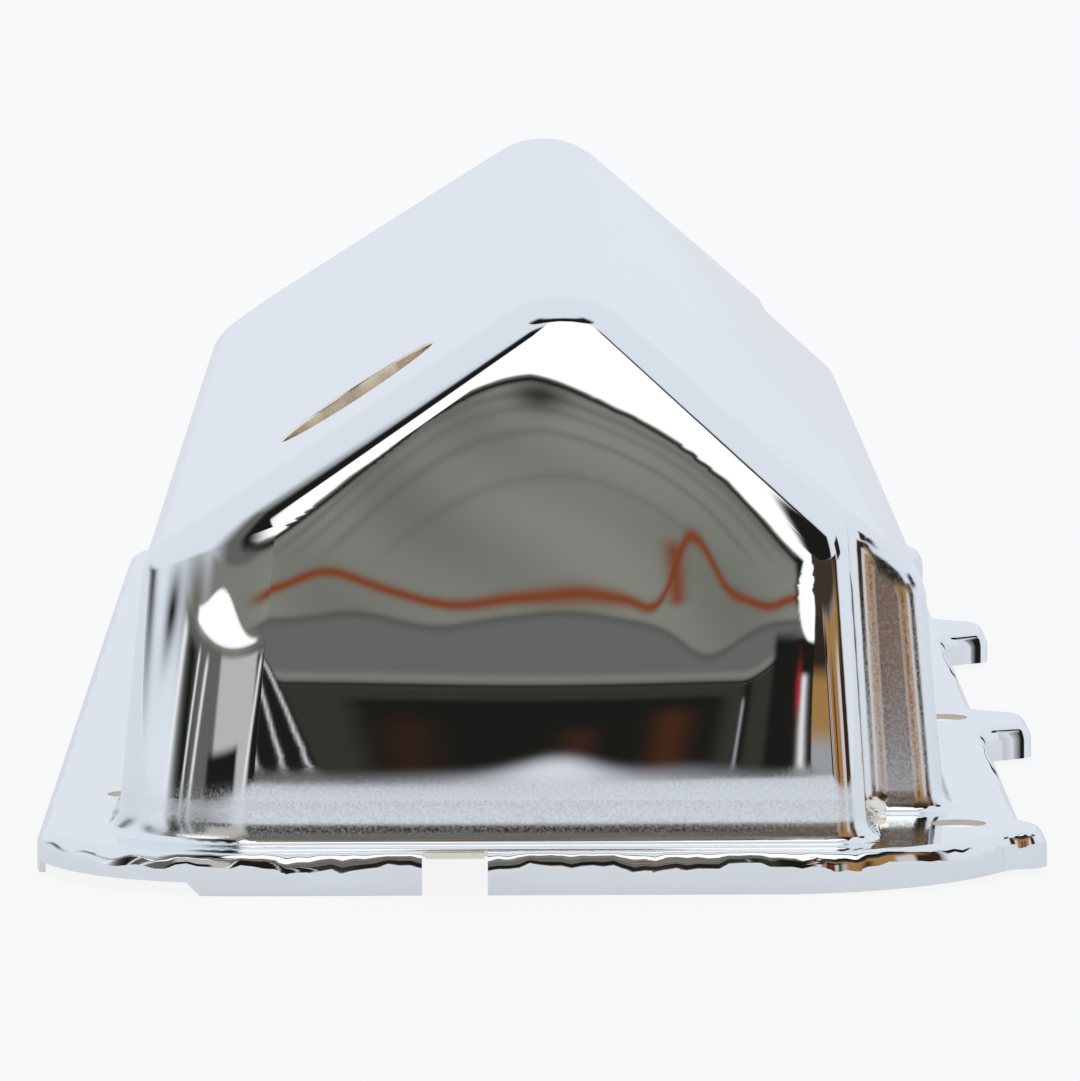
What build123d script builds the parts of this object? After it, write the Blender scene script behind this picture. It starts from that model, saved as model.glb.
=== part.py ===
from build123d import *
from math import atan, cos, radians, sin, sqrt
import os

# A pressed sheet-metal valve cover, one stamping. X runs across the cover, Y along it.
# Sizes below are taken across the flange centre; Z counts up from the flange top face.
# The cover rests on the rim of its down-turned lip.

# sheet, flange and lip
sheet = 1.0
cover_length = 489.0
flange_width = 170.3
flange_corner = 36.0
lip_bend = 3.0
lip_drop = 7.2
lip_drop_right = 6.2
lip_drop_corner = 5.0
lip_taper_start = 45.0
lip_taper_end = 78.0
lip_step = 57.3
lip_step_back = 29.0

# ears that carry the right-hand bolts
ear_mid = 71.8
ear_reach = 9.25
ear_tip = 19.0
ear_root = 32.0
ear_corner = 5.0
ear_blend = 7.0
end_ear_reach = 3.35
end_ear_near = 21.0
end_ear_far = 35.5
end_ear_root = 41.0

# dome section, walls and slopes
wall_left = -71.2
wall_right = 72.3
draft_left = 0.10
draft_right = 0.085
slope_left = 0.647
slope_left_at = (-38.7, 65.6)
slope_right = 0.885
slope_right_at = (18.0, 85.7)
ridge_radius = 17.0

# dome ends
end_foot = 11.0
end_lean = 1.0
crown_radius = 215.0
brow_radius = 10.0
corner_left = 23.0
corner_right = 15.0
foot_radius = 4.0
root_depth = 4.0
top_clear = 110.0

# heights at which upright edges are picked for rounding
pick_low = 5.0
pick_high = 20.0

# open pockets at the two right-hand corners of the dome
pocket_wall = 57.5
pocket_taper = 3.5
pocket_end = 48.0
pocket_inner = 5.5
pillar_radius = 5.5

# bolt holes and the recesses that clear their heads
bolt_radius = 4.75
bolt_right_mid = (78.1, 70.35)
bolt_right_end = (73.7, 211.0)
bolt_left = (-69.8, 170.5)
recess_left = 11.5
recess_left_top = 24.0
recess_left_edge = 3.0
recess_right = 10.0
recess_right_edge = 3.0

# breather hole with its collar turned in
breather_at = (-30.2, -168.4)
breather_bore = 15.875
breather_bend = 0.5
breather_depth = 5.5

# gap sheared out of the front lip
notch_left = -18.6
notch_right = -7.5
notch_relief = 0.6
notch_land = 0.3

# derived frame and sizes
flange_x = -ear_reach / 2
half_length = cover_length / 2
half_width = flange_width / 2
flange_top = Plane(origin=(flange_x, 0, lip_drop))
section = Plane(origin=(flange_x, 0, lip_drop), x_dir=(1, 0, 0), z_dir=(0, -1, 0))
profile = Plane(origin=(flange_x, 0, lip_drop), x_dir=(0, 1, 0), z_dir=(1, 0, 0))
end_foot_y = half_length - end_foot
crown_y = end_foot_y - crown_radius * cos(radians(end_lean))
crown_z = -crown_radius * sin(radians(end_lean))
slope_left_angle = atan(slope_left)
breather_x, breather_y = breather_at
breather_z = slope_left_at[1] + slope_left * (breather_x - slope_left_at[0])
breather_plane = Plane(
    origin=(flange_x + breather_x, breather_y, lip_drop + breather_z),
    x_dir=(0, 1, 0),
    z_dir=(-sin(slope_left_angle), 0, cos(slope_left_angle)),
)


def plan(height):
    """Flange plane raised by `height`."""
    return flange_top.offset(height)


def crossing(at_a, lean_a, at_b, rise_b):
    """Point where x = at_a + lean_a * z meets the slope rise_b through at_b."""
    z = (at_b[1] + rise_b * (at_a - at_b[0])) / (1 - rise_b * lean_a)
    return (at_a + lean_a * z, z)


eave_left = crossing(wall_left, draft_left, slope_left_at, slope_left)
eave_right = crossing(wall_right, -draft_right, slope_right_at, -slope_right)
rise_left = slope_left_at[1] - slope_left * slope_left_at[0]
rise_right = slope_right_at[1] + slope_right * slope_right_at[0]
apex_x = (rise_right - rise_left) / (slope_left + slope_right)
apex = (apex_x, rise_left + slope_left * apex_x)


def crown_half(z, inset):
    """Half length of the crowned dome end at height z."""
    return crown_y + sqrt((crown_radius - inset) ** 2 - (z - crown_z) ** 2)


def wall_section(inset):
    """The two drafted side walls run up past the roof, drawn inside by `inset`."""
    reach = 2 * top_clear
    with BuildSketch() as walls:
        with BuildLine():
            Polyline(
                (wall_left - draft_left * reach, -reach),
                (wall_left + draft_left * reach, reach),
                (wall_right - draft_right * reach, reach),
                (wall_right + draft_right * reach, -reach),
                close=True,
            )
        make_face()
        if inset:
            offset(amount=-inset, kind=Kind.INTERSECTION)
    return walls.sketch


def roof_section(inset):
    """The two roof slopes with their rounded ridge, run out past the walls."""
    reach = flange_width
    with BuildSketch() as roof:
        with BuildLine():
            Polyline(
                (apex[0] - reach, apex[1] - slope_left * reach),
                apex,
                (apex[0] + reach, apex[1] - slope_right * reach),
                (apex[0] + reach, -2 * reach),
                (apex[0] - reach, -2 * reach),
                close=True,
            )
        make_face()
        if inset:
            offset(amount=-inset, kind=Kind.INTERSECTION)
        ridge = roof.vertices().sort_by(Axis.Y)[-1]
        fillet(ridge, radius=ridge_radius - inset)
    return roof.sketch


def flange_outline(inset):
    """Plan of the flange with its four ears, corners sharp, drawn inside itself by `inset`."""
    with BuildSketch() as outline:
        RectangleRounded(flange_width, cover_length, flange_corner)
        for side in (-1, 1):
            mid_y = side * ear_mid
            with BuildLine():
                Polyline(
                    (half_width - ear_blend, mid_y - ear_root / 2),
                    (half_width, mid_y - ear_root / 2),
                    (half_width + ear_reach, mid_y - ear_tip / 2),
                    (half_width + ear_reach, mid_y + ear_tip / 2),
                    (half_width, mid_y + ear_root / 2),
                    (half_width - ear_blend, mid_y + ear_root / 2),
                    close=True,
                )
            make_face()
            near_y = side * (half_length - end_ear_near)
            far_y = side * (half_length - end_ear_far)
            root_y = side * (half_length - end_ear_root)
            with BuildLine():
                Polyline(
                    (half_width - flange_corner / 2, near_y),
                    (half_width + end_ear_reach, near_y),
                    (half_width + end_ear_reach, far_y),
                    (half_width, root_y),
                    (half_width - flange_corner / 2, root_y),
                    close=True,
                )
            make_face()
        if inset:
            offset(amount=-inset, kind=Kind.INTERSECTION)
    return outline.sketch


def nearest_edge(shape, x, y, z):
    """Edge of `shape` nearest a point given from the flange centre."""
    return shape.edges().sort_by_distance(Vector(x + flange_x, y, z + lip_drop))[0]


def pressing(inset):
    """Solid form of the cover, drawn inside itself by `inset`."""
    walls = wall_section(inset)
    roof = roof_section(inset)
    outline = flange_outline(inset)
    block_floor = lip_drop + inset

    with BuildPart() as dome:
        with BuildSketch(profile):
            with BuildLine():
                low = crown_half(-root_depth, inset)
                mid = crown_half(top_clear / 2, inset)
                high = crown_half(top_clear, inset)
                ThreePointArc((low, -root_depth), (mid, top_clear / 2), (high, top_clear))
                Line((high, top_clear), (-high, top_clear))
                ThreePointArc((-high, top_clear), (-mid, top_clear / 2), (-low, -root_depth))
                Line((-low, -root_depth), (low, -root_depth))
            make_face()
        extrude(amount=flange_width, both=True)
        with BuildSketch(section):
            add(walls)
        extrude(amount=cover_length, both=True, mode=Mode.INTERSECT)
        for end in (-1, 1):
            left = nearest_edge(dome, wall_left, end * end_foot_y, pick_high)
            fillet(left, radius=corner_left - inset)
            right = nearest_edge(dome, wall_right, end * end_foot_y, pick_high)
            fillet(right, radius=corner_right - inset)
        with BuildSketch(section):
            add(roof)
        extrude(amount=cover_length, both=True, mode=Mode.INTERSECT)
        eave = nearest_edge(dome, eave_left[0], 0, eave_left[1])
        fillet(eave, radius=brow_radius - inset)
        with BuildSketch(plan(-root_depth)):
            for end, outward in ((-1, Align.MAX), (1, Align.MIN)):
                with Locations((pocket_wall - inset, end * (half_length - pocket_end - inset))):
                    Rectangle(flange_width, flange_width, align=(Align.MIN, outward))
        extrude(amount=top_clear, taper=-pocket_taper, mode=Mode.SUBTRACT)

        for end in (-1, 1):
            inner = nearest_edge(dome, pocket_wall, end * (half_length - pocket_end), pick_high)
            fillet(inner, radius=pocket_inner + inset)
        for end in (-1, 1):
            pillar = nearest_edge(dome, pocket_wall, end * end_foot_y, pick_high)
            outer = nearest_edge(dome, wall_right, end * (half_length - pocket_end), pick_high)
            fillet([pillar, outer], radius=pillar_radius - inset)
        for y in (-bolt_left[1], 0, bolt_left[1]):
            with BuildSketch(plan(-root_depth)):
                with Locations((bolt_left[0], y)):
                    Circle(recess_left + inset)
            extrude(amount=recess_left_top + root_depth, mode=Mode.SUBTRACT)
            with Locations((flange_x + bolt_left[0], y, lip_drop + recess_left_top)):
                Sphere(recess_left + inset, mode=Mode.SUBTRACT)
            mouth = nearest_edge(dome, wall_left, y + recess_left, pick_low)
            fillet(mouth, radius=recess_left_edge - inset)
        for y in (-bolt_right_mid[1], bolt_right_mid[1]):
            with BuildSketch(plan(-root_depth)):
                with Locations((bolt_right_mid[0], y)):
                    Circle(recess_right + inset)
            extrude(amount=top_clear, mode=Mode.SUBTRACT)
            mouth = [nearest_edge(dome, wall_right, y + side * recess_right, pick_low) for side in (-1, 1)]
            fillet(mouth, radius=recess_right_edge - inset)

    with BuildPart() as form:
        with BuildSketch(plan(-inset)):
            add(outline)
        extrude(amount=-block_floor)
        tip_x = half_width + ear_reach
        end_tip_x = half_width + end_ear_reach
        for end in (-1, 1):
            mid_y = end * ear_mid
            near_y = end * (half_length - end_ear_near)
            far_y = end * (half_length - end_ear_far)
            root_y = end * (half_length - end_ear_root)
            for side in (-1, 1):
                tip = nearest_edge(form, tip_x, mid_y + side * ear_tip / 2, -lip_drop / 2)
                fillet(tip, radius=ear_corner - inset)
                root = nearest_edge(form, half_width, mid_y + side * ear_root / 2, -lip_drop / 2)
                fillet(root, radius=ear_blend + inset)
            for y in (near_y, far_y):
                tip = nearest_edge(form, end_tip_x, y, -lip_drop / 2)
                fillet(tip, radius=ear_corner - inset)
            root = nearest_edge(form, half_width, root_y, -lip_drop / 2)
            fillet(root, radius=ear_blend + inset)
            shoulder = nearest_edge(form, half_width - end_ear_reach, near_y, -lip_drop / 2)
            fillet(shoulder, radius=ear_corner + inset)
        fillet(form.faces().sort_by(Axis.Z)[-1].edges(), radius=lip_bend - inset)
        add(dome.part)
        foot = nearest_edge(form, wall_left, bolt_left[1] / 2, -inset)
        fillet(foot, radius=foot_radius + inset)
    return form.part


with BuildPart() as cover_shell:
    add(pressing(0))
    add(pressing(sheet), mode=Mode.SUBTRACT)

    # lip trimmed shallower along the right-hand side
    with BuildSketch(section):
        with BuildLine():
            Polyline(
                (lip_taper_start, -lip_drop),
                (lip_taper_end, -lip_drop_right),
                (flange_width, -lip_drop_right),
                (flange_width, -2 * lip_drop),
                (lip_taper_start, -2 * lip_drop),
                close=True,
            )
        make_face()
    extrude(amount=cover_length, both=True, mode=Mode.SUBTRACT)

    # and stepped up round the two left-hand corners
    step_run = lip_drop - lip_drop_corner
    for end in (-1, 1):
        with BuildSketch(section.offset(-end * (half_length - lip_step_back))):
            with BuildLine():
                Polyline(
                    (-lip_step + step_run / 2, -lip_drop),
                    (-lip_step - step_run / 2, -lip_drop_corner),
                    (-flange_width, -lip_drop_corner),
                    (-flange_width, -2 * lip_drop),
                    (-lip_step + step_run / 2, -2 * lip_drop),
                    close=True,
                )
            make_face()
        extrude(amount=-end * 2 * lip_step_back, mode=Mode.SUBTRACT)

    # gap in the front lip, leaving a flat land of sheet across it
    notch_middle = (notch_left + notch_right) / 2
    notch_width = notch_right - notch_left
    with BuildSketch(plan(-2 * lip_drop)):
        with Locations((notch_middle, -half_length)):
            Rectangle(notch_width, 2 * lip_bend)
    extrude(amount=3 * lip_drop, mode=Mode.SUBTRACT)
    with BuildSketch(plan(-sheet)):
        with Locations((notch_middle, -half_length + notch_land)):
            Rectangle(notch_width - 2 * notch_relief, 2 * lip_bend, align=(Align.CENTER, Align.MIN))
    extrude(amount=sheet)

    # seven bolt holes
    with BuildSketch(plan(-2 * sheet)):
        for x, y in (bolt_right_mid, bolt_right_end):
            with Locations((x, -y), (x, y)):
                Circle(bolt_radius)
        for y in (-bolt_left[1], 0, bolt_left[1]):
            with Locations((bolt_left[0], y)):
                Circle(bolt_radius)
    extrude(amount=3 * sheet, mode=Mode.SUBTRACT)

    # breather hole, its edge turned down into a collar square to the slope
    with BuildSketch(breather_plane.offset(-sheet / 2)):
        Circle(breather_bore + sheet)
    extrude(amount=sheet / 2 - breather_depth)
    with BuildSketch(breather_plane.offset(sheet)):
        Circle(breather_bore)
    extrude(amount=-breather_depth - 2 * sheet, mode=Mode.SUBTRACT)
    rims = cover_shell.edges().filter_by(GeomType.CIRCLE)
    rim = rims.sort_by_distance(breather_plane.origin + breather_plane.x_dir * breather_bore)[0]
    fillet(rim, radius=breather_bend)

cover_shell.part.label = "cover_shell"
os.makedirs("parts", exist_ok=True)
export_step(cover_shell.part, "parts/cover_shell.step")
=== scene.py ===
import math

import bpy
import numpy as np
from mathutils import Matrix, Vector


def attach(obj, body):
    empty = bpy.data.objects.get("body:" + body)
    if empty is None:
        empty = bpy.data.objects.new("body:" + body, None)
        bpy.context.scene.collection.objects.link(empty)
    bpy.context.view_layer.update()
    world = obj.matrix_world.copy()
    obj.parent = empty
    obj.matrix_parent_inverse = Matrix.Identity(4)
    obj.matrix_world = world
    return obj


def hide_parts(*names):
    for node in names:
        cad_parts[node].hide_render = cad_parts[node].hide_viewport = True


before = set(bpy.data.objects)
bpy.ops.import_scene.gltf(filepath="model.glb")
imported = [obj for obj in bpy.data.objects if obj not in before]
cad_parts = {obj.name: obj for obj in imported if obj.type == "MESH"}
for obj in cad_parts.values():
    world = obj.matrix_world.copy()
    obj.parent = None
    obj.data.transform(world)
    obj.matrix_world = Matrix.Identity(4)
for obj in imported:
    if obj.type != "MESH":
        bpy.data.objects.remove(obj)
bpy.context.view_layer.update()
scene = bpy.context.scene
MM = 0.001

# The cover's own sizes in millimetres, from the flange centre, z up from the flange top.
FLANGE_CENTRE = np.array([-4.625, 0.0, 7.2])
SHEET = 1.0
HALF_LENGTH = 244.5
HALF_WIDTH = 85.15
FLANGE_CORNER = 36.0
LIP_BEND = 3.0
FOOT_RADIUS = 4.0
BROW_RADIUS = 10.0
RIDGE_RADIUS = 17.0
CORNER_LEFT = 23.0
CORNER_RIGHT = 15.0
WALL_LEFT = -71.2
DRAFT_LEFT = 0.10
WALL_RIGHT = 72.3
DRAFT_RIGHT = 0.085
SLOPE_LEFT = 0.647
SLOPE_LEFT_AT = (-38.7, 65.6)
SLOPE_RIGHT = 0.885
SLOPE_RIGHT_AT = (18.0, 85.7)
END_FOOT = 11.0
END_LEAN = math.radians(1.0)
CROWN_RADIUS = 215.0
POCKET_WALL = 57.5
POCKET_END = 48.0
POCKET_TAPER = math.radians(3.5)
POCKET_INNER = 5.5
PILLAR_RADIUS = 5.5
ROOT_DEPTH = 4.0
BOLT_LEFT = (-69.8, 170.5)
BOLT_RIGHT_MID = (78.1, 70.35)
RECESS_LEFT = 11.5
RECESS_LEFT_TOP = 24.0
RECESS_RIGHT = 10.0
RECESS_RIGHT_TOP = 2 * HALF_WIDTH
RECESS_EDGE = 3.0
EAR_MID = 71.8
EAR_REACH = 9.25
EAR_TIP = 19.0
EAR_ROOT = 32.0
EAR_CORNER = 5.0
EAR_BLEND = 7.0
END_EAR_REACH = 3.35
END_EAR_NEAR = 21.0
END_EAR_FAR = 35.5
END_EAR_ROOT = 41.0
END_EAR_ZONE = 60.0


# ---- the pressed form as a distance, so that its metal can be shaded without facets ----
# A form is a function from points to their distance outside it and its outward direction.


def plane(normal, offset):
    """Half space behind a plane."""
    size = np.linalg.norm(normal)
    unit = np.array(normal, float) / size

    def form(p):
        return p @ unit - offset / size, np.broadcast_to(unit, p.shape)

    return form


def upright(normal, through):
    """Half space behind an upright plane, mirrored from the back half to the front one."""
    unit = np.array([normal[0], normal[1], 0.0])
    unit = unit / np.linalg.norm(unit)

    def form(p):
        side = np.where(p[:, 1] > 0, 1.0, -1.0)
        d = (p[:, 0] - through[0]) * unit[0] + (p[:, 1] * side - through[1]) * unit[1]
        n = np.broadcast_to(unit, p.shape).copy()
        n[:, 1] *= side
        return d, n

    return form


def hollow(form):
    """Everything outside a form."""

    def inside_out(p):
        d, n = form(p)
        return -d, -n

    return inside_out


def rolled(form_a, form_b, radius, steps=8):
    """What two forms share, with their edge rounded by a ball of the given radius."""

    def form(p):
        da, na = form_a(p)
        db, nb = form_b(p)
        d = np.maximum(da, db)
        n = np.where((da > db)[:, None], na, nb)
        near = np.nonzero((np.minimum(da, db) > -radius) & (np.minimum(da, db) < 3 * radius))[0]
        if len(near) == 0:
            return d, n
        q = p[near]
        ball = q.copy()
        for _ in range(steps):
            ca, ga = form_a(ball)
            cb, gb = form_b(ball)
            along = np.cross(ga, gb)
            size = np.linalg.norm(along, axis=1)
            along = along / np.maximum(size, 1e-6)[:, None]
            rows = np.stack([ga, gb, along], axis=1)
            goal = np.stack([-radius - ca, -radius - cb, ((q - ball) * along).sum(1)], axis=1)
            crossing = size > 1e-3
            move = np.zeros_like(ball)
            move[crossing] = np.linalg.solve(rows[crossing], goal[crossing][:, :, None])[:, :, 0]
            far = np.linalg.norm(move, axis=1)
            ball += move * np.minimum(1, 2 * radius / np.maximum(far, 1e-9))[:, None]
        out = q - ball
        size = np.linalg.norm(out, axis=1)
        out = out / np.maximum(size, 1e-9)[:, None]
        lean = (ga * gb).sum(1)
        on_a, on_b = (out * ga).sum(1), (out * gb).sum(1)
        on_ball = (on_a - lean * on_b > 0) & (on_b - lean * on_a > 0) & crossing
        d[near[on_ball]] = size[on_ball] - radius
        n = n.copy()
        n[near[on_ball]] = out[on_ball]
        return d, n

    return form


def filleted(form_a, form_b, radius, steps=8):
    """Two forms together, with the valley between them filled by a fillet."""
    return hollow(rolled(hollow(form_a), hollow(form_b), radius, steps))


def chosen(choices):
    """Form made of others, each used where its own test of the points is true."""

    def form(p):
        d, n = np.empty(len(p)), np.empty(p.shape)
        for test, part in choices:
            pick = test(p)
            if pick.any():
                d[pick], n[pick] = part(p[pick])
        return d, n

    return form


def crown(p):
    """The two crowned ends of the dome."""
    side = np.where(p[:, 1] > 0, 1.0, -1.0)
    y = p[:, 1] * side - (HALF_LENGTH - END_FOOT - CROWN_RADIUS * math.cos(END_LEAN))
    z = p[:, 2] + CROWN_RADIUS * math.sin(END_LEAN)
    size = np.hypot(y, z)
    return size - CROWN_RADIUS, np.stack([0 * y, side * y / size, z / size], axis=1)


def pocket_side(p):
    """Inner wall of the corner pockets, which faces outwards."""
    c, s = math.cos(POCKET_TAPER), math.sin(POCKET_TAPER)
    d = (p[:, 0] - POCKET_WALL) * c + (p[:, 2] + ROOT_DEPTH) * s
    return d, np.broadcast_to(np.array([c, 0, s]), p.shape)


def pocket_back(p):
    """Far wall of the corner pockets, which faces the end of the cover."""
    c, s = math.cos(POCKET_TAPER), math.sin(POCKET_TAPER)
    side = np.where(p[:, 1] > 0, 1.0, -1.0)
    d = (p[:, 1] * side - (HALF_LENGTH - POCKET_END)) * c + (p[:, 2] + ROOT_DEPTH) * s
    return d, np.stack([0 * d, side * c, 0 * d + s], axis=1)


def recess(x, y_places, radius, top):
    """Everything outside the upright round recesses at x, closed by a ball above `top`."""

    def form(p):
        places = np.array(y_places)
        y = places[np.abs(p[:, 1:2] - places).argmin(1)]
        out = np.stack([p[:, 0] - x, p[:, 1] - y, np.maximum(p[:, 2] - top, 0)], axis=1)
        size = np.maximum(np.linalg.norm(out, axis=1), 1e-9)
        return radius - size, -out / size[:, None]

    return form


def flange_plan(p):
    """Plan of the flange before its ears."""
    side = np.where(p[:, 1] > 0, 1.0, -1.0)
    x = np.abs(p[:, 0]) - (HALF_WIDTH - FLANGE_CORNER)
    y = np.abs(p[:, 1]) - (HALF_LENGTH - FLANGE_CORNER)
    corner = (x > 0) & (y > 0)
    size = np.maximum(np.hypot(x, y), 1e-9)
    d = np.where(corner, size, np.maximum(x, y)) - FLANGE_CORNER
    nx = np.where(corner, x / size, x > y) * np.sign(p[:, 0])
    ny = np.where(corner, y / size, x <= y) * side
    return d, np.stack([nx, ny, 0 * d], axis=1)


def slope_rise(at, slope):
    """Height at which a roof slope, carried on, crosses x = 0."""
    return at[1] - slope * at[0]


left_wall = plane((-1, 0, DRAFT_LEFT), -WALL_LEFT)
right_wall = plane((1, 0, DRAFT_RIGHT), WALL_RIGHT)
roof_left = plane((-SLOPE_LEFT, 0, 1), slope_rise(SLOPE_LEFT_AT, SLOPE_LEFT))
roof_right = plane((SLOPE_RIGHT, 0, 1), slope_rise(SLOPE_RIGHT_AT, -SLOPE_RIGHT))
roof = rolled(roof_left, roof_right, RIDGE_RADIUS, 2)
walls = chosen([
    (lambda p: p[:, 0] < 0, rolled(left_wall, crown, CORNER_LEFT)),
    (lambda p: p[:, 0] >= 0, rolled(right_wall, crown, CORNER_RIGHT)),
])
gable = rolled(walls, roof, BROW_RADIUS)
pocket = filleted(pocket_side, pocket_back, POCKET_INNER, 3)
left_bolts = recess(BOLT_LEFT[0], (-BOLT_LEFT[1], 0, BOLT_LEFT[1]), RECESS_LEFT, RECESS_LEFT_TOP)
# The right-hand recesses end above the roof, so they run up through the eaves.
mid_bolts = (-BOLT_RIGHT_MID[1], BOLT_RIGHT_MID[1])
right_bolts = recess(BOLT_RIGHT_MID[0], mid_bolts, RECESS_RIGHT, RECESS_RIGHT_TOP)


# Limits of the zones in which the dome's pockets and recesses are cut.
POCKET_ZONE_X = 40.0
POCKET_ZONE_Y = HALF_LENGTH - POCKET_END - 14
RIGHT_ZONE_X = 50.0
RIGHT_ZONE_REACH = 18.0
LEFT_ZONE_X = -50.0
LEFT_ZONE_TOP = 42.0
LEFT_ZONE_REACH = 20.0


def everywhere(p):
    """True at all points."""
    return np.ones(len(p), bool)


def by_pocket(p):
    """True round the corner pockets."""
    return (p[:, 0] > POCKET_ZONE_X) & (np.abs(p[:, 1]) > POCKET_ZONE_Y)


def by_right_bolts(p):
    """True round the two middle bolts of the right wall."""
    return (p[:, 0] > RIGHT_ZONE_X) & (np.abs(np.abs(p[:, 1]) - BOLT_RIGHT_MID[1]) < RIGHT_ZONE_REACH)


def by_left_bolts(p):
    """True round the three bolts of the left wall."""
    y = np.abs(p[:, 1])
    near = (y < LEFT_ZONE_REACH) | (np.abs(y - BOLT_LEFT[1]) < LEFT_ZONE_REACH)
    return (p[:, 0] < LEFT_ZONE_X) & (p[:, 2] < LEFT_ZONE_TOP) & near


dome = chosen([
    (everywhere, gable),
    (by_pocket, rolled(gable, pocket, PILLAR_RADIUS)),
    (by_right_bolts, rolled(gable, right_bolts, RECESS_EDGE)),
    (by_left_bolts, rolled(gable, left_bolts, RECESS_EDGE)),
])
standing = filleted(dome, plane((0, 0, 1), 0), FOOT_RADIUS)

ear_side = (EAR_ROOT - EAR_TIP) / 2
mid_tip = upright((1, 0), (HALF_WIDTH + EAR_REACH, 0))
mid_low = upright((ear_side, -EAR_REACH), (HALF_WIDTH, EAR_MID - EAR_ROOT / 2))
mid_high = upright((ear_side, EAR_REACH), (HALF_WIDTH, EAR_MID + EAR_ROOT / 2))
mid_ear = rolled(rolled(mid_low, mid_tip, EAR_CORNER, 3), mid_high, EAR_CORNER, 3)
end_tip = upright((1, 0), (HALF_WIDTH + END_EAR_REACH, 0))
end_near = upright((0, 1), (0, HALF_LENGTH - END_EAR_NEAR))
end_far = upright((END_EAR_ROOT - END_EAR_FAR, -END_EAR_REACH), (HALF_WIDTH, HALF_LENGTH - END_EAR_ROOT))
end_ear = rolled(rolled(end_near, end_tip, EAR_CORNER, 3), end_far, EAR_CORNER, 3)
ears_from = HALF_WIDTH - 20
end_ear_middle = HALF_LENGTH - (END_EAR_NEAR + END_EAR_FAR) / 2


def right_edge(p):
    """True along the side that has the ears."""
    return p[:, 0] > ears_from


def by_end_ear(p):
    """True round the small ears at the right-hand ends."""
    return right_edge(p) & (np.abs(p[:, 1]) > HALF_LENGTH - END_EAR_ZONE)


def past_end_ear(p):
    """True from the middle of the small ears to the ends."""
    return right_edge(p) & (np.abs(p[:, 1]) > end_ear_middle)


outline = chosen([
    (everywhere, flange_plan),
    (right_edge, filleted(flange_plan, mid_ear, EAR_BLEND, 4)),
    (by_end_ear, filleted(flange_plan, end_ear, EAR_BLEND, 4)),
    (past_end_ear, filleted(flange_plan, end_ear, EAR_CORNER, 4)),
])


def pressing(p):
    """The outer form of the pressing, before its holes and cut edges."""
    d, n = standing(p)
    low = np.nonzero(p[:, 2] < FOOT_RADIUS)[0]
    if len(low):
        side, facing = outline(p[low])
        up, tilt = d[low] + LIP_BEND, side + LIP_BEND
        bend = (up > 0) & (tilt > 0)
        size = np.maximum(np.hypot(up, tilt), 1e-9)
        flat = np.where((d[low] > side)[:, None], n[low], facing)
        curved = (n[low] * up[:, None] + facing * tilt[:, None]) / size[:, None]
        n[low] = np.where(bend[:, None], curved, flat)
        d[low] = np.where(bend, size - LIP_BEND, np.maximum(d[low], side))
    return d, n


# ---- the cover's mesh, made finer and shaded from that form ----
OUTER, INNER, CUT = 0, 1, 2


def halves(tri):
    """The three edges of each triangle, as sorted point pairs, and the list of different ones."""
    pairs = np.sort(np.stack([tri, np.roll(tri, -1, axis=1)], axis=2).reshape(-1, 2), axis=1)
    edges, index = np.unique(pairs, axis=0, return_inverse=True)
    return edges, index.reshape(-1, 3)


def split_long(points, tri, kind, longest):
    """Cuts each long edge of the outer face in two, with its triangles."""
    edges, of_tri = halves(tri)
    outer = np.zeros(len(edges), bool)
    outer[of_tri[kind == OUTER]] = True
    a, b = points[edges[:, 0]], points[edges[:, 1]]
    mark = outer & (np.linalg.norm(a - b, axis=1) > longest((a + b) / 2))
    if not mark.any():
        return points, tri, kind, False
    middle = (a[mark] + b[mark]) / 2
    for _ in range(2):
        d, n = pressing(middle)
        middle -= n * np.clip(d, -0.5, 0.5)[:, None]
    new = np.full(len(edges), -1)
    new[mark] = len(points) + np.arange(mark.sum())
    points = np.vstack([points, middle])
    cut = new[of_tri]
    count = (cut >= 0).sum(1)
    out, out_kind = [tri[count == 0]], [kind[count == 0]]
    for turn in range(3):
        t = np.roll(tri, -turn, axis=1)
        c = np.roll(cut, -turn, axis=1)
        one = (count == 1) & (c[:, 0] >= 0)
        two = (count == 2) & (c[:, 2] < 0)
        p, q, r = t[one].T
        m = c[one][:, 0]
        out += [np.stack([p, m, r], axis=1), np.stack([m, q, r], axis=1)]
        out_kind += [kind[one]] * 2
        p, q, r = t[two].T
        m, k = c[two][:, 0], c[two][:, 1]
        out += [np.stack([m, q, k], axis=1), np.stack([p, m, k], axis=1), np.stack([p, k, r], axis=1)]
        out_kind += [kind[two]] * 3
    p, q, r = tri[count == 3].T
    m, k, j = cut[count == 3].T
    out += [np.stack(c, axis=1) for c in ((p, m, j), (m, q, k), (j, k, r), (m, k, j))]
    out_kind += [kind[count == 3]] * 4
    return points, np.vstack(out), np.concatenate(out_kind), True


def face_normals(points, tri):
    a, b, c = (points[tri[:, i]] for i in range(3))
    n = np.cross(b - a, c - a)
    return n / np.maximum(np.linalg.norm(n, axis=1), 1e-12)[:, None]


# Longest edges in millimetres, and the height of the foot and lip, which get the shorter ones.
FRONT_END = -205.0
FINE, COARSE, LIP_FINE, LIP_COARSE = 3.2, 200.0, 2.0, 12.0
LOW_TOP = 3.9
FLAT = 0.05
SPLIT_ROUNDS = 9
# How near a vertex is to the form, and how well its face and the form agree, to count as lying on it.
CLOSE = 0.12
AGREE = 0.7
# How well two cut faces have to agree to be shaded as one.
SMOOTH_WITHIN = 0.8
# The sheet ripples on walls, whose normals rise less than this, and fades out over the second number.
WALL_RISE, RISE_SOFT = 0.55, 0.2


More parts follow.
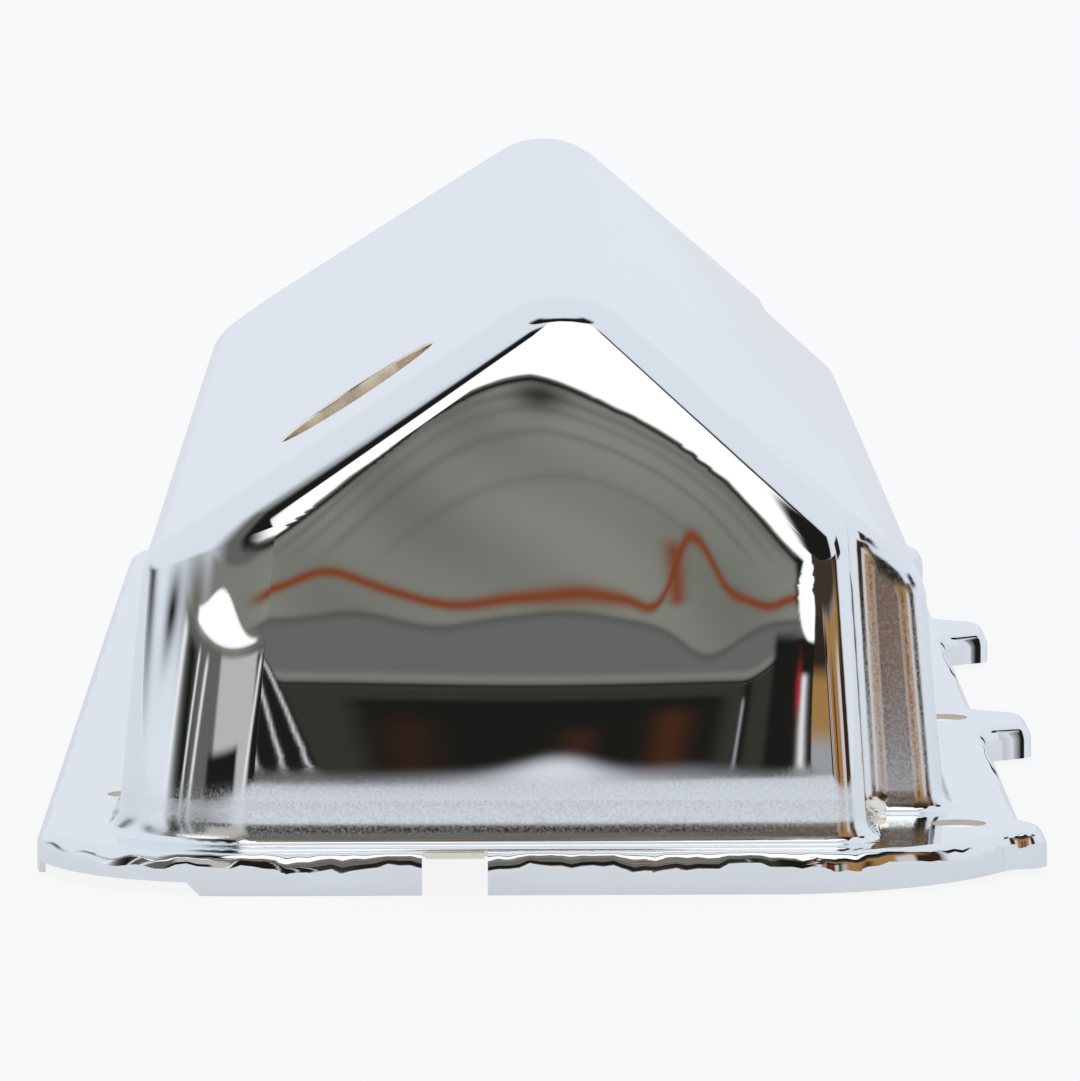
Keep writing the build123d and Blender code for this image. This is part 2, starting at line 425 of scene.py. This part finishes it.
def longest_edge(p):
    """Longest edge wanted at a point: short at the front end, which the picture looks at."""
    front = p[:, 1] < FRONT_END
    low = (p[:, 2] < LOW_TOP) & (np.abs(p[:, 2]) > FLAT)
    return np.where(front, np.where(low, LIP_FINE, FINE), np.where(low, LIP_COARSE, COARSE))


def ripple(p):
    """Slight unevenness of the pressed sheet: its slope at each point, most at the front end."""
    slope = np.zeros(p.shape)
    for wave, turn, size in (
        ((0.021, 0.062, 0.031), 0.4, 0.050),
        ((-0.045, 0.027, 0.055), 1.9, 0.035),
        ((0.071, -0.018, -0.040), 3.1, 0.022),
        ((0.012, 0.110, -0.020), 5.0, 0.012),
    ):
        k = np.array(wave)
        slope += np.cos(p @ k + turn)[:, None] * k * size
    calm = np.clip((p[:, 2] - 3) / 8, 0, 1) * np.where(p[:, 1] < FRONT_END, 1.0, 0.3)
    return slope * calm[:, None]


def worn(p):
    """Unevenness of the folded edges, from about -1 to 1 along the rim."""
    wave = np.zeros(len(p))
    for size, across, along, turn in (
        (1.0, 0.21, 0.13, 0.5),
        (0.7, 0.53, -0.31, 1.0),
        (0.5, 1.30, 0.90, 2.0),
    ):
        wave += size * np.sin(p[:, 0] * across + p[:, 1] * along + turn)
    return wave / 2.2


def tilted(n, tilt):
    """The same way round, at another tilt above the level, in degrees."""
    level = n[:, :2] / np.maximum(np.linalg.norm(n[:, :2], axis=1), 1e-6)[:, None]
    t = np.radians(tilt)
    return np.stack([level[:, 0] * np.cos(t), level[:, 1] * np.cos(t), np.sin(t)], axis=1)


# Shading tilts in degrees, by depth or height in millimetres. The shape itself doesn't have them.
RIM_DEPTH = (0.0, 0.35, 0.8, 1.2, 2.3, 2.9, 7.2)
RIM_TILT = (88.0, 50.0, 22.0, 13.0, 6.0, 2.5, 1.5)
RIM_WAVE = 0.9
RIM_SWAY = 1.5
FLARE = 12.0
FLARE_END = 0.7
POCKET_HEIGHT = (12.0, 34.0, 46.0, 56.0)
POCKET_LEAN = (0.0, 2.5, 5.5, 10.0)
POCKET_FROM = 10.0
# The mid ears' faces towards the front lean further, so that they mirror the dark doorway.
EAR_LEAN = 22.0
EAR_FACE_X = HALF_WIDTH + 6
EAR_FACE_Y = -190.0
EAR_FACE_Z = -1.2


def formed_edges(points, n):
    """Normals tilted away from the form's own at rim, foot, ears and pockets, for the photograph's look."""
    n = n.copy()
    rim = np.nonzero(points[:, 2] < -0.01)[0]
    p = points[rim]
    depth = -p[:, 2] + RIM_WAVE * worn(p) * np.clip(-p[:, 2] / 1.5, 0, 1)
    n[rim] = tilted(n[rim], np.interp(depth, RIM_DEPTH, RIM_TILT) + RIM_SWAY * worn(p[:, [1, 0, 2]]))
    near = (points[:, 0] > EAR_FACE_X) & (points[:, 1] > EAR_FACE_Y) & (points[:, 2] < EAR_FACE_Z)
    near &= n[:, 1] < -0.5
    n[near] = tilted(n[near], np.full(near.sum(), EAR_LEAN))
    foot = np.nonzero((points[:, 2] > 0.02) & (points[:, 2] < FOOT_RADIUS))[0]
    p = points[foot]
    wall = np.degrees(np.arcsin(np.clip(dome(p)[1][:, 2], -1, 1)))
    down = np.clip((FOOT_RADIUS - p[:, 2]) / (FOOT_RADIUS - FLARE_END), 0, 1)
    last = np.clip(1 - p[:, 2] / FLARE_END, 0, 1)
    flare = wall + FLARE * down
    n[foot] = tilted(n[foot], flare + (90 - flare) * last)
    on_back = by_pocket(points) & (np.abs(pocket_back(points)[0]) < 0.1) & (points[:, 2] > POCKET_FROM)
    back = np.nonzero(on_back)[0]
    lean = np.degrees(np.arcsin(np.clip(n[back][:, 2], -1, 1)))
    n[back] = tilted(n[back], lean + np.interp(points[back][:, 2], POCKET_HEIGHT, POCKET_LEAN))
    return n


def smooth_cover(node):
    """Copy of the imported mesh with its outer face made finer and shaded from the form, with the tilts."""
    mesh = node.data
    raw = np.empty(len(mesh.vertices) * 3)
    mesh.vertices.foreach_get("co", raw)
    raw = raw.reshape(-1, 3) / MM
    mesh.calc_loop_triangles()
    tri = np.empty(len(mesh.loop_triangles) * 3, int)
    mesh.loop_triangles.foreach_get("vertices", tri)
    _, first, merged = np.unique(np.round(raw, 3), axis=0, return_index=True, return_inverse=True)
    points = raw[first] - FLANGE_CENTRE
    tri = merged.reshape(-1)[tri].reshape(-1, 3)
    tri = tri[(tri[:, 0] != tri[:, 1]) & (tri[:, 1] != tri[:, 2]) & (tri[:, 2] != tri[:, 0])]

    d, n = pressing(points)
    facing = face_normals(points, tri)
    agree = (n[tri] * facing[:, None]).sum(2)
    kind = np.full(len(tri), CUT)
    kind[(np.abs(d[tri]) < CLOSE).all(1) & (agree > AGREE).all(1)] = OUTER
    kind[(np.abs(d[tri] + SHEET) < CLOSE).all(1) & (agree < -AGREE).all(1)] = INNER

    for _ in range(SPLIT_ROUNDS):
        points, tri, kind, more = split_long(points, tri, kind, longest_edge)
        if not more:
            break

    d, n = pressing(points)
    on_wall = np.clip((WALL_RISE - np.abs(n[:, 2])) / RISE_SOFT, 0, 1)
    uneven = formed_edges(points, n - ripple(points) * on_wall[:, None])
    uneven /= np.linalg.norm(uneven, axis=1)[:, None]
    loops = np.where((kind == OUTER)[:, None, None], uneven[tri], -n[tri])
    cut = np.nonzero(kind == CUT)[0]
    facing = face_normals(points, tri)
    around = {}
    for face in cut:
        for point in tri[face]:
            around.setdefault(point, []).append(face)
    for face in cut:
        for corner, point in enumerate(tri[face]):
            near = facing[around[point]]
            total = near[near @ facing[face] > SMOOTH_WITHIN].sum(0)
            loops[face, corner] = total / np.linalg.norm(total)

    new = bpy.data.meshes.new("cover_shell_smooth")
    places = np.clip(points + FLANGE_CENTRE, raw.min(axis=0), raw.max(axis=0))
    new.from_pydata((places * MM).tolist(), [], tri.tolist())
    new.polygons.foreach_set("use_smooth", [True] * len(tri))
    new.polygons.foreach_set("material_index", np.where(kind == CUT, 1, 0).tolist())
    new.normals_split_custom_set(loops.reshape(-1, 3).tolist())
    piece = bpy.data.objects.new("valve_cover", new)
    scene.collection.objects.link(piece)
    return piece


# ---- materials ----
def material(name):
    m = bpy.data.materials.new(name)
    m.use_nodes = True
    m.node_tree.nodes.clear()
    return m, m.node_tree.nodes, m.node_tree.links


def metal(name, colour, roughness):
    m, nodes, links = material(name)
    out = nodes.new("ShaderNodeOutputMaterial")
    bsdf = nodes.new("ShaderNodeBsdfPrincipled")
    bsdf.inputs["Base Color"].default_value = (*colour, 1)
    bsdf.inputs["Metallic"].default_value = 1.0
    bsdf.inputs["Roughness"].default_value = roughness
    links.new(bsdf.outputs[0], out.inputs[0])
    return m


def between(nodes, links, value, low, high, soft):
    """1 where a coordinate lies between two places, in metres, with soft ends."""
    ends = []
    for start, end in ((low, low + soft), (high, high - soft)):
        node = nodes.new("ShaderNodeMapRange")
        node.interpolation_type = "SMOOTHSTEP"
        node.inputs["From Min"].default_value = start
        node.inputs["From Max"].default_value = end
        links.new(value, node.inputs["Value"])
        ends.append(node.outputs[0])
    return times(nodes, links, *ends)


def times(nodes, links, a, b):
    """Product of two values, each a number or a node's output."""
    node = nodes.new("ShaderNodeMath")
    node.operation = "MULTIPLY"
    for value, slot in ((a, node.inputs[0]), (b, node.inputs[1])):
        if isinstance(value, float):
            slot.default_value = value
        else:
            links.new(value, slot)
    return node.outputs[0]


MIRROR = 0.006
FROST = 0.16
POCKET_FROST = 1.1
# Where the plating is frosted, in metres: from, to, and how soft both ends are.
# The first three are heights above the flange top, and the last two lie along x and y.
HAZE = (0.0003, 0.0145, 0.0100)
LOW_HAZE = (0.0003, 0.0085, 0.0016)
POCKET_Z = (0.0002, 0.0600, 0.0020)
POCKET_X = (0.0510, 0.0720, 0.0040)
POCKET_Y = (-0.2040, -0.1900, 0.0020)
GRAIN = 2200.0


def chrome():
    """Bright plating, frosted low on the walls and in the front pocket."""
    m = metal("chrome_plate", (0.90, 0.92, 0.94), MIRROR)
    nodes, links = m.node_tree.nodes, m.node_tree.links
    bsdf = next(node for node in nodes if node.type == "BSDF_PRINCIPLED")
    place = nodes.new("ShaderNodeTexCoord")
    axes = nodes.new("ShaderNodeSeparateXYZ")
    links.new(place.outputs["Object"], axes.inputs[0])
    top = FLANGE_CENTRE[2] * MM
    x, y, z = axes.outputs
    foot, foot_low, pocket_z = (
        between(nodes, links, z, top + low, top + high, soft)
        for low, high, soft in (HAZE, LOW_HAZE, POCKET_Z)
    )
    pocket_x = between(nodes, links, x, *POCKET_X)
    pocket_y = between(nodes, links, y, *POCKET_Y)
    in_plan = times(nodes, links, pocket_x, pocket_y)
    hidden = times(nodes, links, in_plan, times(nodes, links, pocket_z, POCKET_FROST))
    dull = foot
    for other in (foot_low, hidden):
        most = nodes.new("ShaderNodeMath")
        most.operation = "MAXIMUM"
        links.new(dull, most.inputs[0])
        links.new(other, most.inputs[1])
        dull = most.outputs[0]
    grain = nodes.new("ShaderNodeTexNoise")
    grain.inputs["Scale"].default_value = GRAIN
    links.new(place.outputs["Object"], grain.inputs["Vector"])
    speckle = nodes.new("ShaderNodeMapRange")
    for socket, value in (("From Min", 0.35), ("From Max", 0.65), ("To Min", 0.6), ("To Max", 1.2)):
        speckle.inputs[socket].default_value = value
    links.new(grain.outputs[0], speckle.inputs["Value"])
    frost = times(nodes, links, times(nodes, links, dull, speckle.outputs[0]), FROST)
    rough = nodes.new("ShaderNodeMath")
    rough.operation = "ADD"
    rough.inputs[1].default_value = MIRROR
    links.new(frost, rough.inputs[0])
    links.new(rough.outputs[0], bsdf.inputs["Roughness"])
    return m


def painted_light(name):
    """Emission that takes its colour from the mesh's own colours."""
    m, nodes, links = material(name)
    out = nodes.new("ShaderNodeOutputMaterial")
    emit = nodes.new("ShaderNodeEmission")
    colour = nodes.new("ShaderNodeVertexColor")
    colour.layer_name = "light"
    links.new(colour.outputs[0], emit.inputs[0])
    links.new(emit.outputs[0], out.inputs[0])
    m.cycles.emission_sampling = "NONE"
    return m


# ---- studio ----
# The plating mirrors a room and a screen, which are painted by the formulas below.
# The photograph was plotted by which way each part of the plating looks, and the places and colours of the
# bands were read off those plots, so that the mirrored bands lie where the photographed ones do.
def grid_stage(name, across, up, place, paint):
    """Sheet on a grid, hidden from the camera and from shadows: `place` gives its points and `paint` the
    light it shows.
    """
    a, b = np.meshgrid(across, up)
    points = place(a.ravel(), b.ravel())
    wide = len(across)
    first = (np.arange(len(up) - 1)[:, None] * wide + np.arange(wide - 1)).ravel()
    faces = np.stack([first, first + 1, first + wide + 1, first + wide], axis=1)
    mesh = bpy.data.meshes.new(name)
    mesh.from_pydata(points.tolist(), [], faces.tolist())
    colours = mesh.color_attributes.new("light", "FLOAT_COLOR", "POINT")
    rgba = np.ones((len(points), 4))
    rgba[:, :3] = paint(a.ravel(), b.ravel())
    colours.data.foreach_set("color", rgba.ravel())
    mesh.materials.append(painted_light(name))
    sheet = bpy.data.objects.new(name, mesh)
    scene.collection.objects.link(sheet)
    sheet.visible_camera = False
    sheet.visible_shadow = False


def ramp(x, low, high):
    """0 below low, 1 above high, smooth between."""
    t = np.clip((x - low) / (high - low), 0, 1)
    return t * t * (3 - 2 * t)


def bump(x, centre, width):
    """1 at the centre, falling away smoothly on both sides."""
    return np.exp(-(((x - centre) / width) ** 2))


def lay(base, colour, cover):
    """Lays a colour, or another painting, over a base where `cover` is 1."""
    return base + (np.array(colour) - base) * np.clip(cover, 0, 1)[:, None]


PALE = (0.755, 0.80, 0.87)
WHITE = (1.12, 1.12, 1.12)
WALL = (0.205, 0.210, 0.180)
SHADE = (0.120, 0.125, 0.115)
BLACK = (0.012, 0.012, 0.010)
PANEL = (0.034, 0.037, 0.028)
BROWN = (0.060, 0.022, 0.012)
ORANGE = (0.210, 0.050, 0.014)
GOLD = (0.36, 0.20, 0.07)
GREY = (0.34, 0.35, 0.36)
STRIPE = (0.80, 0.78, 0.78)
LIT_EDGE = (0.85, 0.86, 0.88)
RED = (0.42, 0.02, 0.03)
DARK_RED = (0.10, 0.02, 0.015)
LIGHT_BROWN = (0.62, 0.58, 0.57)
DARK_BROWN = (0.035, 0.018, 0.012)
NEAR_BLACK = (0.03, 0.02, 0.015)
UMBER = (0.05, 0.035, 0.025)
OLIVE = (0.16, 0.155, 0.125)
TAN = (0.50, 0.49, 0.47)
DARK_STAND = (0.07, 0.075, 0.07)
DRAPE = (0.135, 0.140, 0.130)
DRAPE_EDGE = (0.085, 0.090, 0.078)
HEAP_DIM = (0.26, 0.27, 0.29)
HEAP_PALE = (0.72, 0.74, 0.78)


# The front screen stands behind the camera, and the crowned end mirrors a narrow strip of it.
SCREEN_Y = -2.6
SCREEN_LEFT, SCREEN_RIGHT = -0.108, 0.138
SCREEN_TOP = 2.35
# Middle height of the end wall and its distance from the screen, to turn elevations into heights.
MIRROR_HEIGHT = 0.055
MIRROR_TO_SCREEN = 2.37


def orange_line(x):
    """Height of the cable that hangs across the screen."""
    z = 0.80 + 0.10 * bump(x, -0.070, 0.020) - 0.045 * bump(x, -0.027, 0.014)
    z += 0.02 * bump(x, 0.015, 0.012) - 0.055 * bump(x, 0.048, 0.010)
    return z + 0.30 * bump(x, 0.070, 0.013) - 0.045 * bump(x, 0.112, 0.012)


def fold_line(x):
    """Upper edge of the darker lower part of the screen."""
    z = 0.68 + 0.03 * bump(x, -0.060, 0.015) - 0.03 * bump(x, -0.035, 0.012)
    return z + 0.05 * bump(x, 0.008, 0.025) - 0.15 * bump(x, 0.080, 0.022)


def screen_edge(x):
    """Height of the screen's top, which follows the gable: light shows above it."""
    left = 1.02 + 1.04 * ramp(x, -0.125, 0.035) ** 0.9
    right = 0.90 + 1.16 * ramp(x, 0.150, 0.025) ** 0.95
    return np.where(x < 0.03, left, right)


def screen_light(x, z):
    """Light of the screen by place, in metres: x across it and z up it."""
    c = np.tile(np.array(WALL), (len(x), 1))
    c *= (1 + 0.18 * np.sin(x * 61 + z * 3.1) * np.sin(z * 4.3 + x * 17))[:, None]
    top = screen_edge(x)
    for inset, depth in ((0.11, 0.55), (0.21, 0.35), (0.36, 0.45), (0.62, 0.30)):
        c = lay(c, SHADE, depth * bump(z, top - inset - 0.03 * np.sin(x * 40), 0.028) * ramp(z, 0.9, 1.1))
    c = lay(c, BLACK, 0.85 * bump(x, 0.032, 0.012) * bump(z, 1.90, 0.11))
    # darker lower part with its folds
    fold = fold_line(x)
    c = lay(c, DRAPE, ramp(z, fold + 0.01, fold - 0.02))
    c = lay(c, DRAPE_EDGE, 0.8 * bump(z, fold, 0.018))
    thick = 0.028 + 0.02 * bump(x, 0.015, 0.02) + 0.02 * bump(x, 0.075, 0.012)
    c = lay(c, ORANGE, 0.95 * bump(z, orange_line(x), thick))
    c = lay(c, ORANGE, 0.9 * bump(x, 0.060, 0.005) * ramp(z, 0.74, 0.80) * ramp(z, 1.12, 1.02))
    # shelf edge, and below it a dark cabinet with brown legs
    sag = 0.10 * ramp(x, -0.085, -0.112) + 0.20 * ramp(x, 0.100, 0.140)
    c = lay(c, WALL, bump(z, 0.445 + sag, 0.018))
    c = lay(c, BLACK, bump(z, 0.412 + sag, 0.010))
    below = ramp(z, 0.408 + sag, 0.398 + sag)
    c = lay(c, PANEL, below)
    c = lay(c, BLACK, below * ramp(z, 0.37, 0.34) * ramp(x, -0.072, -0.060) * ramp(x, 0.100, 0.086))
    c = lay(c, BROWN, 0.4 * below * bump(x, -0.052, 0.009) * ramp(z, 0.33, 0.22))
    c = lay(c, BROWN, 0.6 * below * bump(x, 0.016, 0.010) * ramp(z, 0.26, 0.20))
    c = lay(c, BROWN, below * bump(x, 0.066, 0.011) * ramp(z, 0.34, 0.26))
    # dark stand with bright edges at the left, and a dark edge, white strip and red line at the right
    stand = 0.027 * np.sqrt(np.clip(1 - (z / 0.60) ** 2, 0, 1))
    c = lay(c, BLACK, ramp(x, SCREEN_LEFT + stand + 0.001, SCREEN_LEFT + stand) * ramp(z, 0.60, 0.57))
    for part in (0.33, 0.64, 0.93):
        c = lay(c, WHITE, 0.6 * ramp(z, 0.57, 0.50) * bump(x, SCREEN_LEFT + stand * part, 0.0006))
    c = lay(c, BLACK, below * bump(x, 0.105, 0.0022))
    c = lay(c, GREY, 1.5 * below * bump(x, 0.103, 0.0006) * ramp(z, 0.36, 0.30))
    c = lay(c, BLACK, ramp(x, 0.115, 0.119) * ramp(z, 0.66, 0.58))
    c = lay(c, STRIPE, bump(x, 0.1335, 0.0016) * ramp(z, 0.46, 0.42))
    c = lay(c, RED, bump(x, 0.1310, 0.0012) * bump(z, 0.38, 0.10))
    # pale heap low in front of it
    heap = 0.02 + 0.075 * bump(x, 0.008, 0.028) + 0.015 * bump(x, 0.085, 0.02)
    heap -= 0.03 * ramp(np.abs(x - 0.01), 0.05, 0.12)
    c = lay(c, HEAP_DIM, ramp(z, heap + 0.07, heap - 0.04))
    c = lay(c, HEAP_PALE, ramp(z, heap + 0.05, heap - 0.04) * bump(x, 0.008, 0.045))
    # dark frame along the top, a leaf of light at the right, then the light above
    c = lay(c, BLACK, bump(z, top - 0.035, 0.022))
    leaf = 0.1375 - 0.0085 * np.sqrt(np.clip(1 - ((z - 0.80) / 0.22) ** 2, 0, 1))
    c = lay(c, BLACK, ramp(x, 0.126, 0.129) * ramp(z, 0.72, 0.80) * ramp(z, 1.10, 1.0))
    c = lay(c, WHITE, ramp(x, leaf - 0.0006, leaf + 0.0006) * ramp(z, 0.57, 0.60) * ramp(z, 1.03, 1.0))
    return lay(c, WHITE, ramp(z, top - 0.01, top + 0.01))


def screen_place(x, z):
    """Point of the screen, which stands upright."""
    return np.stack([x, np.full(len(x), SCREEN_Y), z], axis=1)


def room_light(azimuth, elevation):
    """Light of the studio by direction, in degrees: 0 is in front of the notched end."""
    away = np.abs(azimuth)
    left = azimuth < 0
    c = np.tile(np.array(PALE), (len(azimuth), 1))
    reach = np.where(left, ramp(away, 66, 40), ramp(away, 62, 28))
    c = lay(c, SHADE, reach * ramp(elevation, 66, 50))
    # overhead soft box in front, its lower edge rising to both sides
    edge = np.where(left, 19.5 + 1.3 * away, 19.0 + 1.2 * away - 0.0115 * away**2)
    end = np.where(left, 15.5, 46.0)
    in_front = ramp(away, end + 0.7, end - 0.7)
    dark_end = np.where(left, 36.0, 54.0)
    dark = ramp(elevation, 21.5, 23.0) * ramp(elevation, 66, 62)
    c = lay(c, BLACK, dark * ramp(away, dark_end, dark_end - np.where(left, 10, 4)))
    c = lay(c, BLACK, ramp(elevation, 70, 71) * ramp(elevation, 80, 76) * ramp(away, 90, 60))
    c = lay(c, WHITE, ramp(elevation, edge, edge + 0.6) * ramp(elevation, 70.5, 69.5) * in_front)
    # wall, stands and a lit strip on the left
    low = left & (elevation < 26)
    c = lay(c, WALL, low * ramp(elevation, 22.6 - 0.05 * away, 21.8 - 0.05 * away) * ramp(away, 62, 50))
    c = lay(c, OLIVE, low * bump(elevation, 21.0 - 0.1 * away, 4.5) * bump(away, 68, 14))
    c = lay(c, TAN, low * ramp(elevation, 12.8, 12.2) * ramp(away, 6, 9) * ramp(away, 40, 36))
    c = lay(c, BLACK, low * ramp(elevation, 12.4, 11.8) * ramp(away, 8, 6))
    c = lay(c, SHADE, low * ramp(elevation, 13.5, 12.5) * ramp(away, 37, 40) * ramp(away, 84, 70))
    c = lay(c, BLACK, low * ramp(elevation, 12.5, 11.0) * bump(away, 66, 6))
    c = lay(c, BLACK, low * ramp(elevation, 5, 3.8) * ramp(away, 16, 19) * ramp(away, 44, 40))
    c = lay(c, BLACK, low * bump(elevation, 10.5 - 0.25 * (away - 88), 2.2) * bump(away, 94, 8))
    for at, width in ((4.5, 1.0), (51, 1.2), (59, 0.9), (76, 2.5)):
        slanted = at + 0.5 * (11 - elevation)
        c = lay(c, LIT_EDGE, low * ramp(elevation, 12.5, 11) * bump(away, slanted, width))
    c = lay(c, DARK_STAND, low * bump(elevation, 2.5, 2.6) * bump(away, 130, 12))
    strip = 13.5 + 4.4 * bump(away, 41, 18)
    lit = ramp(elevation, 13.2, 13.6) * ramp(elevation, strip + 0.3, strip - 0.1)
    lit = lit * ramp(away, 66, 62) * ramp(away, 5, 12)
    c = lay(c, WHITE, low * lit)
    # the light of the screen's left edge carries on beside it
    height = MIRROR_HEIGHT + MIRROR_TO_SCREEN * np.tan(np.radians(np.clip(elevation, 0, 60)))
    side = screen_light(np.full(len(azimuth), SCREEN_LEFT), height)
    c = lay(c, side, low * ramp(elevation, 12.2, 12.8) * ramp(away, 26, 3) * (1 - lit))
    # stands and cables on the right
    low = ~left & (elevation < 22)
    c = lay(c, LIGHT_BROWN, low * ramp(away, 76, 70))
    c = lay(c, DARK_BROWN, low * ramp(away, 52, 55) * ramp(away, 72, 68))
    c = lay(c, GOLD, low * ramp(away, 13, 16) * ramp(away, 44, 40) * ramp(elevation, 16, 11))
    c = lay(c, DARK_RED, low * bump(away, 26, 3))
    c = lay(c, GOLD, low * bump(elevation, 13.5, 3.0) * ramp(away, 3, 8) * ramp(away, 66, 54))
    c = lay(c, BLACK, low * ramp(away, 14, 11) * ramp(elevation, 16, 12))
    c = lay(c, RED, low * bump(away, 6.5, 0.8) * bump(elevation, 6, 4))
    c = lay(c, STRIPE, low * bump(away, 9.5, 0.8) * ramp(elevation, 12, 10))
    # what the front pocket's back mirrors: grey, gold above it, then dark
    beside = low * ramp(away, 4.4, 3.4)
    c = lay(c, GREY, beside)
    c = lay(c, GOLD, beside * ramp(elevation, 2, 5))
    c = lay(c, NEAR_BLACK, beside * ramp(elevation, 8.5, 11))
    # dark doorway that the bolt ears mirror
    doorway = ramp(away, 73, 77) * ramp(away, 98, 94) * ramp(elevation, 14, 17) * ramp(elevation, 34, 31)
    c = lay(c, BLACK, ~left * doorway)
    c = lay(c, UMBER, low * ramp(elevation, 14, 17) * ramp(away, 60, 50))
    return c


ROOM_RADIUS = 6.0


def room_place(azimuth, elevation):
    """Point of the room's dome in a direction."""
    a, e = np.radians(azimuth), np.radians(elevation)
    flat = ROOM_RADIUS * np.cos(e)
    return np.stack([flat * np.sin(a), -flat * np.cos(a), ROOM_RADIUS * np.sin(e)], axis=1)


def stretch(low, high, step):
    """Evenly spaced values from low to high, about a step apart."""
    return np.linspace(low, high, int(round((high - low) / step)) + 1)


# Degrees. The grid is finer where the front end's corners and brow mirror the room.
azimuths = np.concatenate([stretch(-180, -100, 4)[:-1], stretch(-100, 70, 1)[:-1], stretch(70, 180, 4)])
elevations = np.concatenate([stretch(-4, 30, 0.25)[:-1], stretch(30, 90, 1)])


# The floor's matt colour, and how much plain white the camera and the mirrors see in its place.
FLOOR_COLOUR = (0.80, 0.84, 0.89, 1)
FLOOR_SEEN = 0.88
FLOOR_MIRRORED = 0.4


def build_floor():
    """Plain pale floor that looks nearly white and still takes the cover's shadow."""
    m, nodes, links = material("floor")
    out = nodes.new("ShaderNodeOutputMaterial")
    mix = nodes.new("ShaderNodeMixShader")
    matt = nodes.new("ShaderNodeBsdfDiffuse")
    matt.inputs[0].default_value = FLOOR_COLOUR
    lit = nodes.new("ShaderNodeEmission")
    path = nodes.new("ShaderNodeLightPath")
    share = nodes.new("ShaderNodeMath")
    share.operation = "MULTIPLY"
    share.inputs[1].default_value = FLOOR_SEEN
    glossy = nodes.new("ShaderNodeMath")
    glossy.operation = "MULTIPLY_ADD"
    glossy.inputs[1].default_value = FLOOR_MIRRORED
    links.new(path.outputs["Is Camera Ray"], share.inputs[0])
    links.new(path.outputs["Is Glossy Ray"], glossy.inputs[0])
    links.new(share.outputs[0], glossy.inputs[2])
    links.new(glossy.outputs[0], mix.inputs[0])
    links.new(matt.outputs[0], mix.inputs[1])
    links.new(lit.outputs[0], mix.inputs[2])
    links.new(mix.outputs[0], out.inputs[0])
    half = ROOM_RADIUS
    mesh = bpy.data.meshes.new("floor")
    corners = [(-half, -half, 0), (half, -half, 0), (half, half, 0), (-half, half, 0)]
    mesh.from_pydata(corners, [], [(0, 1, 2, 3)])
    mesh.materials.append(m)
    floor = bpy.data.objects.new("floor", mesh)
    scene.collection.objects.link(floor)


def build_world():
    """Pale light all round, and plain white where the camera looks past the floor."""
    world = bpy.data.worlds.new("world")
    scene.world = world
    world.use_nodes = True
    nodes, links = world.node_tree.nodes, world.node_tree.links
    nodes.clear()
    out = nodes.new("ShaderNodeOutputWorld")
    room = nodes.new("ShaderNodeBackground")
    room.inputs[0].default_value = (*PALE, 1)
    seen = nodes.new("ShaderNodeBackground")
    seen.inputs[0].default_value = (1, 1, 1, 1)
    mix = nodes.new("ShaderNodeMixShader")
    path = nodes.new("ShaderNodeLightPath")
    links.new(path.outputs["Is Camera Ray"], mix.inputs[0])
    links.new(room.outputs[0], mix.inputs[1])
    links.new(seen.outputs[0], mix.inputs[2])
    links.new(mix.outputs[0], out.inputs[0])


# Camera fitted to the photograph: place in millimetres, turns in degrees, lens and sensor in millimetres.
CAMERA_PLACE = (-13.978, -1746.96, 227.02)
CAMERA_PITCH = 6.335
CAMERA_YAW = 0.412
CAMERA_ROLL = -0.152
CAMERA_LENS = 300.0
CAMERA_SENSOR = 36.0


def build_camera():
    """Long lens in front of the notched end, looking slightly down."""
    data = bpy.data.cameras.new("camera")
    camera = bpy.data.objects.new("camera", data)
    scene.collection.objects.link(camera)
    data.sensor_fit = "HORIZONTAL"
    data.sensor_width = CAMERA_SENSOR
    data.lens = CAMERA_LENS
    data.clip_end = 50
    pitch, yaw, roll = (math.radians(turn) for turn in (CAMERA_PITCH, CAMERA_YAW, CAMERA_ROLL))
    ahead = Vector((math.sin(yaw) * math.cos(pitch), math.cos(yaw) * math.cos(pitch), -math.sin(pitch)))
    level = Vector((math.cos(yaw), -math.sin(yaw), 0))
    above = level.cross(ahead)
    right = level * math.cos(roll) + above * math.sin(roll)
    up = above * math.cos(roll) - level * math.sin(roll)
    turn = Matrix((right, up, -ahead)).transposed().to_4x4()
    camera.matrix_world = Matrix.Translation(Vector(CAMERA_PLACE) * MM) @ turn
    scene.camera = camera


plate = chrome()
# Metal of the cut edges. Its bright pale cream colour is partly painted light, so that the inside of the
# breather looks light.
cut_edge = metal("cut_edge", (0.96, 0.88, 0.76), 0.16)
cover = smooth_cover(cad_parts["cover_shell"])
cover.data.materials.append(plate)
cover.data.materials.append(cut_edge)
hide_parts("cover_shell")
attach(cover, "root")

build_floor()
build_world()
grid_stage("room", azimuths, elevations, room_place, room_light)
columns = stretch(SCREEN_LEFT, SCREEN_RIGHT, 0.0008)
rows = stretch(0, SCREEN_TOP, 0.008)
grid_stage("screen", columns, rows, screen_place, screen_light)
build_camera()
scene.view_settings.view_transform = "Standard"
